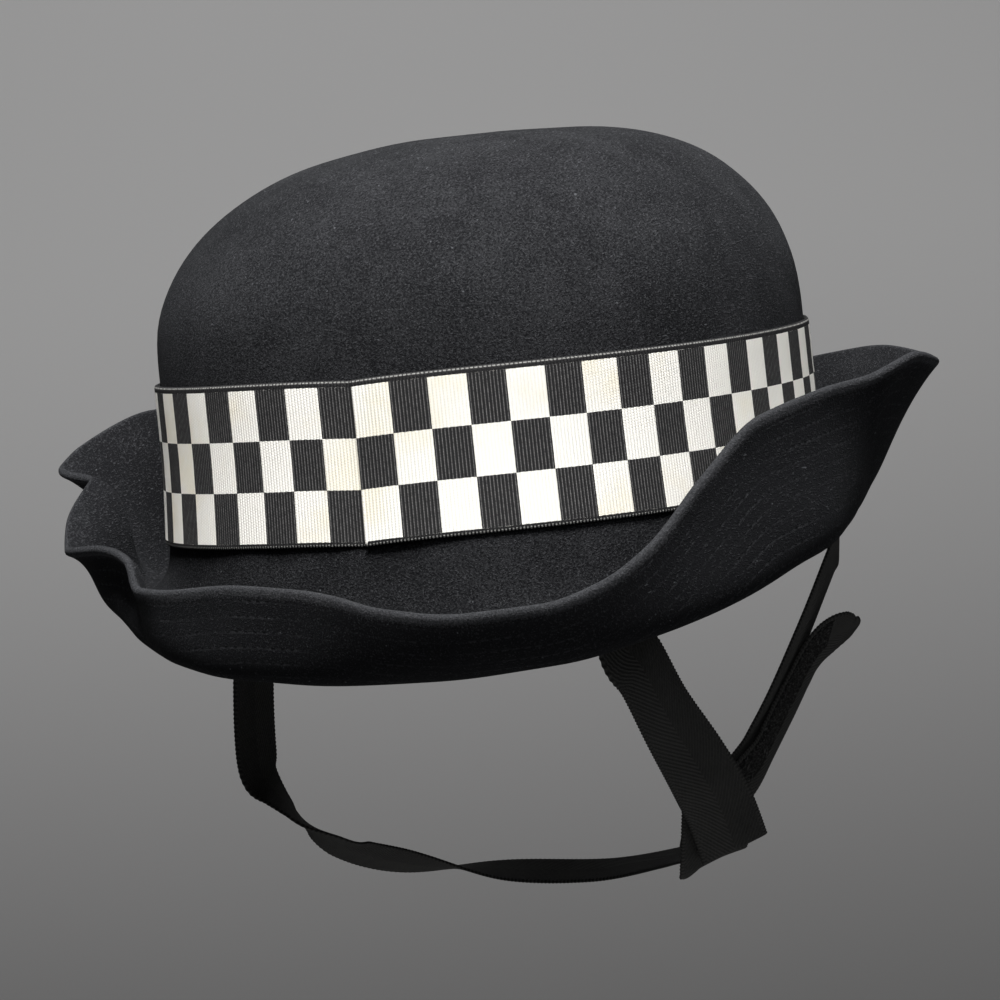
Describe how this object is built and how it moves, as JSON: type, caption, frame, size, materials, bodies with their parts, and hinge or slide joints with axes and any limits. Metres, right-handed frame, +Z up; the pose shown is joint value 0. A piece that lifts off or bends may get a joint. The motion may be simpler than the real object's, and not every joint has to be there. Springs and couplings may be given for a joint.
{
  "type": "women's police felt bowler hat with a checked band and a chin strap",
  "caption": "Soft felt bowler hat with a curled brim, a checked ribbon round its crown and a tape chin strap shaped as it is worn.",
  "frame": {"origin": "middle of the head opening, about level with the lowest felt of the brim, which is at the back", "axes": "+Z up through the crown, -Y the way the wearer faces, +X the wearer's left"},
  "size_m": [0.2531, 0.2857, 0.2253],
  "materials": {
    "felt": "soft brushed wool felt, blue-black",
    "band": "ribbed ribbon in black and white checks",
    "tape": "black herringbone tape"
  },
  "bodies": {
    "root": {"felt_hat": "felt", "check_band": "band", "chin_tape": "tape", "back_tape": "tape", "front_tape": "tape", "tail_tape": "tape"}
  },
  "joints": []
}
